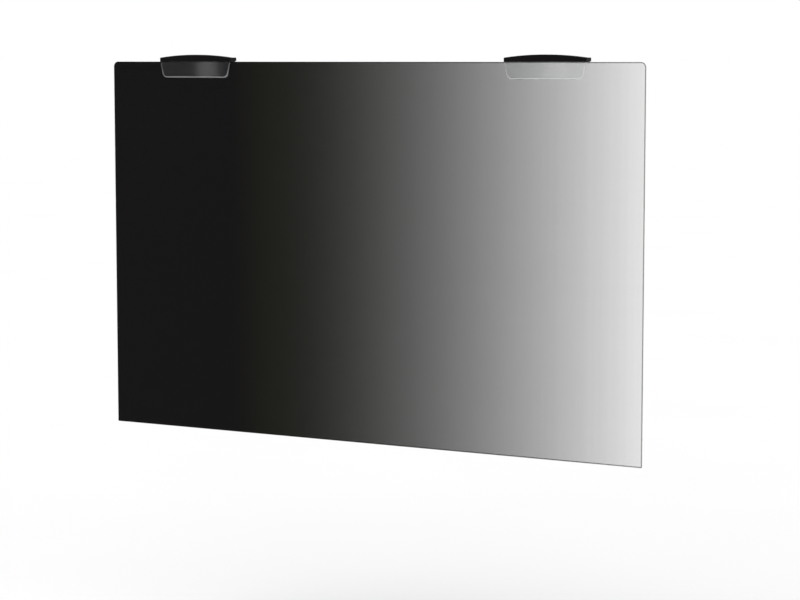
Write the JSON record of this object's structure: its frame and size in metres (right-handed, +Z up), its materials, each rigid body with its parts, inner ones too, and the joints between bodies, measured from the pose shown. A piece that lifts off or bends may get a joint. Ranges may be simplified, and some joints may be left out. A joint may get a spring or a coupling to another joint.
{
  "type": "monitor privacy filter",
  "caption": "Thin dark louvred sheet that hangs over a monitor's screen by magnetic clips with clear tabs, held to base strips on the monitor's top edge.",
  "frame": {"origin": "centre of the sheet's back face, which lies against the monitor's front", "axes": "+X to the right seen from the front, +Y from the sheet's back towards the monitor, +Z up along the sheet"},
  "size_m": [0.53, 0.0123, 0.3412],
  "materials": {
    "filter_film": "satin",
    "cap_black": "satin",
    "tab_clear": "gloss",
    "tape_clear": "satin",
    "magnet_nickel": "satin",
    "strip_black": "satin",
    "pad_foam": "matte"
  },
  "bodies": {
    "root": {"filter_sheet": "filter_film", "left_cap": "cap_black", "left_tab": "tab_clear", "left_tape": "tape_clear", "left_base_strip": "strip_black", "left_adhesive_pad": "pad_foam", "left_cap_magnet_1": "magnet_nickel", "left_strip_magnet_1": "magnet_nickel", "left_cap_magnet_2": "magnet_nickel", "left_strip_magnet_2": "magnet_nickel", "left_cap_magnet_3": "magnet_nickel", "left_strip_magnet_3": "magnet_nickel", "right_cap": "cap_black", "right_tab": "tab_clear", "right_tape": "tape_clear", "right_base_strip": "strip_black", "right_adhesive_pad": "pad_foam", "right_cap_magnet_1": "magnet_nickel", "right_strip_magnet_1": "magnet_nickel", "right_cap_magnet_2": "magnet_nickel", "right_strip_magnet_2": "magnet_nickel", "right_cap_magnet_3": "magnet_nickel", "right_strip_magnet_3": "magnet_nickel"}
  },
  "joints": []
}
